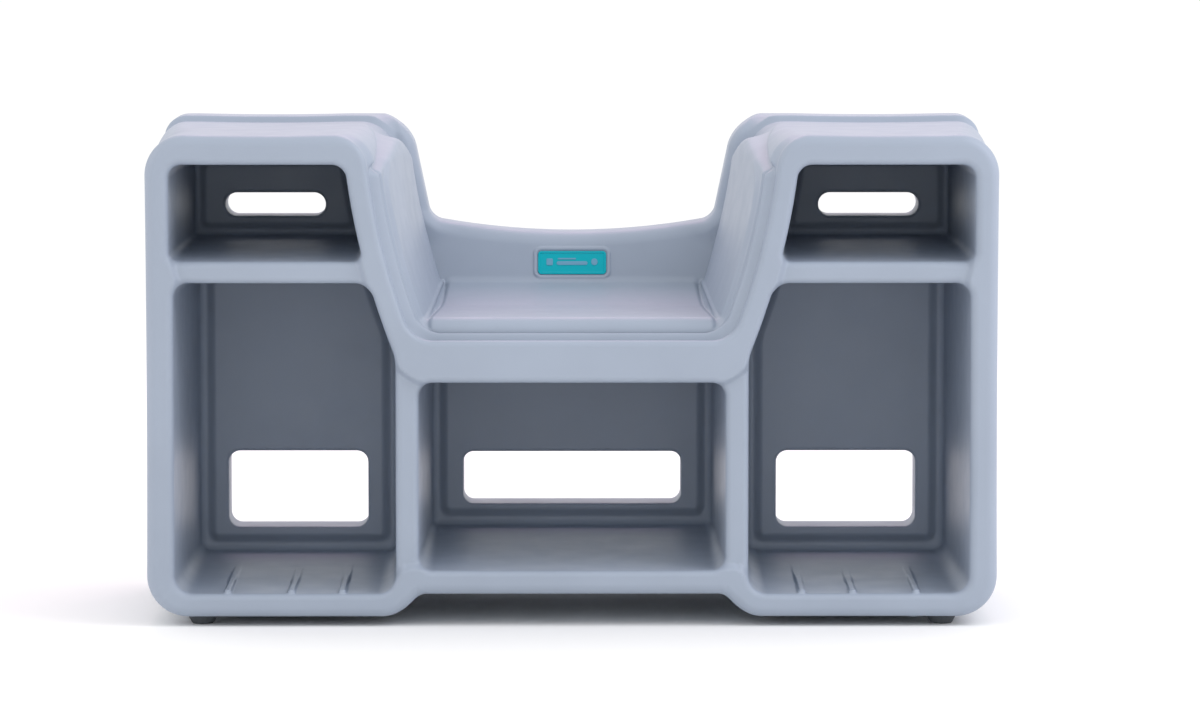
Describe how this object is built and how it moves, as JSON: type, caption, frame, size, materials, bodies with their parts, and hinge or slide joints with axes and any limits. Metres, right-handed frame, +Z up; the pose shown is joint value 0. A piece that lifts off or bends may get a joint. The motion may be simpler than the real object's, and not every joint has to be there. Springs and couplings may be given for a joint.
{
  "type": "step stool work seat",
  "caption": "Moulded plastic step stool and low work seat: storage towers flank a contoured seat with a curved backrest lip, with open pockets, hand slots, windows and rubber feet.",
  "frame": {"origin": "on the floor under the middle of the stool's bounding box", "axes": "+X to the right along the stool's length as its open front is seen, +Y from the open front to the closed back, +Z up"},
  "size_m": [0.711, 0.3, 0.416],
  "materials": {
    "moulded_plastic": "satin moulded polyethylene, light blue grey, with a faint moulded grain",
    "nameplate_plastic": "teal, semi-gloss",
    "plug_plastic": "satin, the body's colour",
    "foot_rubber": "matt dark grey rubber",
    "zinc_steel": "zinc-plated steel"
  },
  "bodies": {
    "root": {"moulded_body": "moulded_plastic", "nameplate": "nameplate_plastic", "vent_plug": "plug_plastic", "foot_front_left": "foot_rubber", "foot_washer_front_left": "zinc_steel", "foot_screw_front_left": "zinc_steel", "foot_front_right": "foot_rubber", "foot_washer_front_right": "zinc_steel", "foot_screw_front_right": "zinc_steel", "foot_rear_left": "foot_rubber", "foot_washer_rear_left": "zinc_steel", "foot_screw_rear_left": "zinc_steel", "foot_rear_right": "foot_rubber", "foot_washer_rear_right": "zinc_steel", "foot_screw_rear_right": "zinc_steel"}
  },
  "joints": []
}
